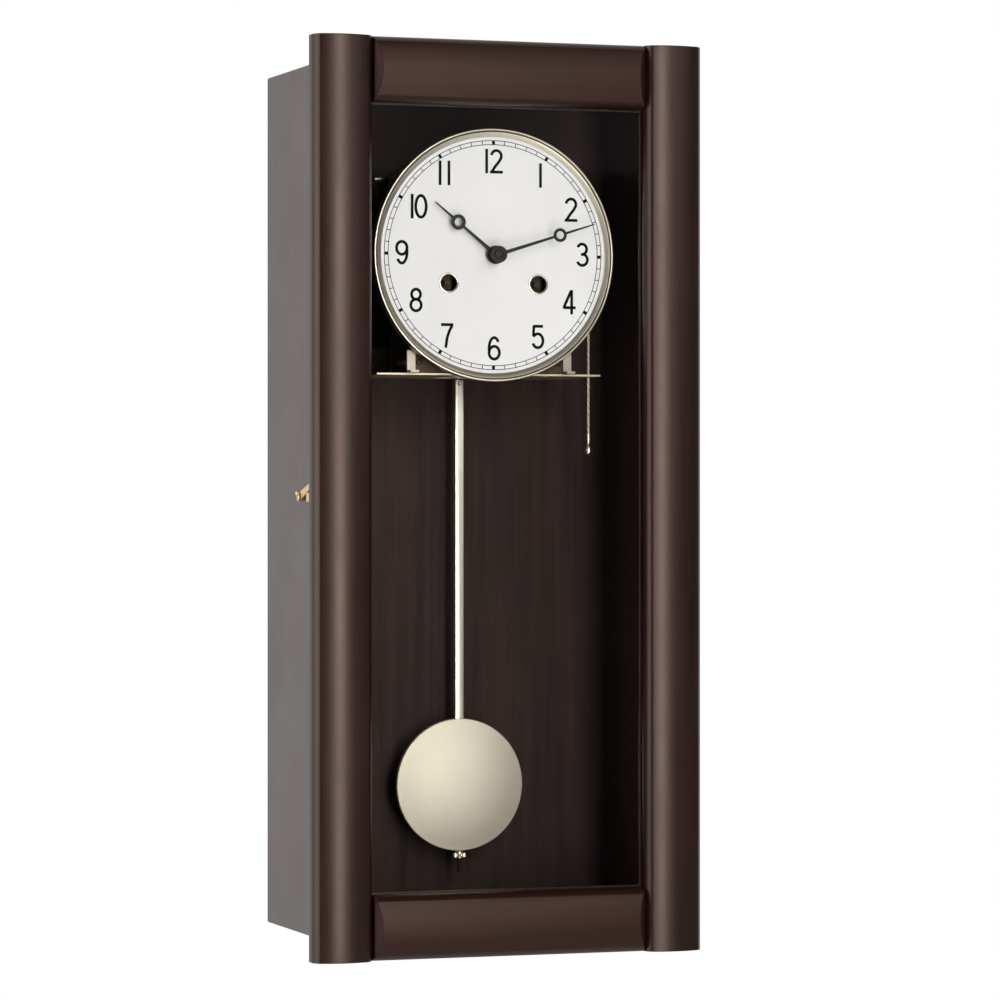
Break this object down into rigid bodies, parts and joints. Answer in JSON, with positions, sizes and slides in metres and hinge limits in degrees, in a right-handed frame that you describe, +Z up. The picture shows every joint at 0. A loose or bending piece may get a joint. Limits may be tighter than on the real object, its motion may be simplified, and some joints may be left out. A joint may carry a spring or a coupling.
{
  "type": "wall clock",
  "caption": "Pendulum wall clock in a rectangular wooden case with a glazed moulded door, round dial in a metal bezel, hour strike on a bell and a pull cord.",
  "frame": {"origin": "centre of the case's rear face, on the wall, at the door's middle height", "axes": "+X to the viewer's right, +Y into the wall, +Z up"},
  "size_m": [0.265, 0.1395, 0.59],
  "materials": {
    "walnut": "satin lacquer",
    "backboard_wood": "satin",
    "champagne_metal": "brushed and lacquered",
    "brass": "satin",
    "steel": "satin",
    "dark_steel": "satin",
    "dial_white": "matt",
    "hand_black": "satin",
    "glass": "clear",
    "pull_cord": "twisted thread"
  },
  "bodies": {
    "case": {"case_side_left": "walnut", "case_side_right": "walnut", "case_top": "walnut", "case_bottom": "walnut", "backboard": "backboard_wood", "hanger_plate": "steel", "hinge_upper_case_leaf": "brass", "hinge_lower_case_leaf": "brass", "latch_screw": "brass", "seat_plate": "dark_steel", "movement_foot_left": "steel", "movement_foot_right": "steel", "front_plate": "brass", "back_plate": "brass", "pillar_upper_left": "brass", "pillar_upper_right": "brass", "pillar_lower_left": "brass", "pillar_lower_right": "brass", "dial": "dial_white", "bezel": "champagne_metal", "grommet_left": "brass", "grommet_right": "brass", "suspension_cock": "brass", "bell": "brass", "bell_post": "steel"},
    "door": {"door_stile_left": "walnut", "door_stile_right": "walnut", "door_rail_top": "walnut", "door_rail_bottom": "walnut", "door_glass": "glass", "glass_retainer": "walnut", "hinge_upper_door_leaf": "brass", "hinge_lower_door_leaf": "brass", "catch_pin": "brass"},
    "latch": {"latch_hook": "brass"},
    "minute": {"centre_wheel": "brass", "cannon_pinion": "steel", "minute_hand": "hand_black", "hand_nut": "hand_black"},
    "hour": {"hour_wheel": "brass", "hour_hand": "hand_black"},
    "minute_wheel": {"minute_wheel": "brass"},
    "going_barrel": {"going_barrel": "brass"},
    "going_arbor": {"going_arbor": "steel"},
    "third_wheel": {"third_wheel": "brass"},
    "escape_wheel": {"escape_wheel": "brass"},
    "anchor": {"anchor": "steel"},
    "pendulum": {"suspension_spring": "steel", "pendulum_leader": "steel", "pendulum_rod": "champagne_metal", "pendulum_bob": "champagne_metal"},
    "rating_nut": {"rating_nut": "brass"},
    "strike_barrel": {"strike_barrel": "brass"},
    "strike_arbor": {"strike_arbor": "steel"},
    "hammer_wheel": {"hammer_wheel": "brass"},
    "fly": {"fly": "brass"},
    "hammer": {"hammer": "steel"},
    "repeat_lever": {"repeat_lever": "steel"},
    "pull": {"pull_cord": "pull_cord", "pull_bead": "brass"}
  },
  "joints": [
    {"name": "door_hinge", "type": "hinge", "parent": "case", "child": "door", "pos_m": [0.1275, -0.1205, 0], "axis": [0, 0, 1], "range_deg": [0, 110]},
    {"name": "latch_pivot", "type": "hinge", "parent": "case", "child": "latch", "pos_m": [-0.1285, -0.091, 0.001], "axis": [-1, 0, 0], "range_deg": [-14, 76]},
    {"name": "minute_spin", "type": "hinge", "parent": "case", "child": "minute", "pos_m": [0, -0.09, 0.1585], "axis": [0, 1, 0], "continuous": true},
    {"name": "hour_spin", "type": "hinge", "parent": "case", "child": "hour", "pos_m": [0, -0.095, 0.1585], "axis": [0, 1, 0], "continuous": true},
    {"name": "minute_wheel_spin", "type": "hinge", "parent": "case", "child": "minute_wheel", "pos_m": [0, -0.093, 0.1445], "axis": [0, 1, 0], "continuous": true},
    {"name": "going_barrel_spin", "type": "hinge", "parent": "case", "child": "going_barrel", "pos_m": [0.0308, -0.07, 0.14], "axis": [0, 1, 0], "continuous": true},
    {"name": "going_winding", "type": "hinge", "parent": "case", "child": "going_arbor", "pos_m": [0.0308, -0.07, 0.14], "axis": [0, 1, 0], "range_deg": [0, 1800]},
    {"name": "third_wheel_spin", "type": "hinge", "parent": "case", "child": "third_wheel", "pos_m": [0.018, -0.06, 0.17166], "axis": [0, 1, 0], "continuous": true},
    {"name": "escape_wheel_spin", "type": "hinge", "parent": "case", "child": "escape_wheel", "pos_m": [0, -0.06, 0.185], "axis": [0, 1, 0], "continuous": true},
    {"name": "pendulum_swing", "type": "hinge", "parent": "case", "child": "pendulum", "pos_m": [0, -0.0293, 0.2], "axis": [0, 1, 0], "range_deg": [-3.5, 3.5]},
    {"name": "anchor_rock", "type": "hinge", "parent": "case", "child": "anchor", "pos_m": [0, -0.057, 0.2], "axis": [0, 1, 0], "range_deg": [-3.5, 3.5]},
    {"name": "rating_nut_spin", "type": "hinge", "parent": "pendulum", "child": "rating_nut", "pos_m": [0, -0.0293, -0.2373], "axis": [0, 0, 1], "range_deg": [-720, 720]},
    {"name": "strike_barrel_spin", "type": "hinge", "parent": "case", "child": "strike_barrel", "pos_m": [-0.0308, -0.07, 0.14], "axis": [0, 1, 0], "continuous": true},
    {"name": "strike_winding", "type": "hinge", "parent": "case", "child": "strike_arbor", "pos_m": [-0.0308, -0.07, 0.14], "axis": [0, 1, 0], "range_deg": [0, 1800]},
    {"name": "hammer_wheel_spin", "type": "hinge", "parent": "case", "child": "hammer_wheel", "pos_m": [-0.02456, -0.06, 0.17538], "axis": [0, 1, 0], "continuous": true},
    {"name": "fly_spin", "type": "hinge", "parent": "case", "child": "fly", "pos_m": [-0.03911, -0.06, 0.18378], "axis": [0, 1, 0], "continuous": true},
    {"name": "hammer_swing", "type": "hinge", "parent": "case", "child": "hammer", "pos_m": [-0.05, -0.06, 0.172], "axis": [0, 1, 0], "range_deg": [-14, 4.6], "stiffness_Nm_per_rad": 0.05},
    {"name": "pull_slide", "type": "slide", "parent": "case", "child": "pull", "axis": [0, 0, -1], "range_m": [0, 0.007], "stiffness_N_per_m": 60, "springref_m": -0.003},
    {"name": "lever_swing", "type": "hinge", "parent": "case", "child": "repeat_lever", "pos_m": [0.046, -0.0593, 0.14], "axis": [0, 1, 0], "range_deg": [0, 12]}
  ],
  "couplings": [
    {"joint": "hour_spin", "follows": "minute_spin", "ratio": 0.083333},
    {"joint": "minute_wheel_spin", "follows": "minute_spin", "ratio": -0.33333},
    {"joint": "going_barrel_spin", "follows": "minute_spin", "ratio": -0.125},
    {"joint": "third_wheel_spin", "follows": "minute_spin", "ratio": -8},
    {"joint": "escape_wheel_spin", "follows": "minute_spin", "ratio": 80},
    {"joint": "anchor_rock", "follows": "pendulum_swing", "ratio": 1},
    {"joint": "hammer_wheel_spin", "follows": "strike_barrel_spin", "ratio": -8},
    {"joint": "fly_spin", "follows": "strike_barrel_spin", "ratio": 48},
    {"joint": "lever_swing", "follows": "pull_slide", "rad_per_m": 28.8}
  ]
}
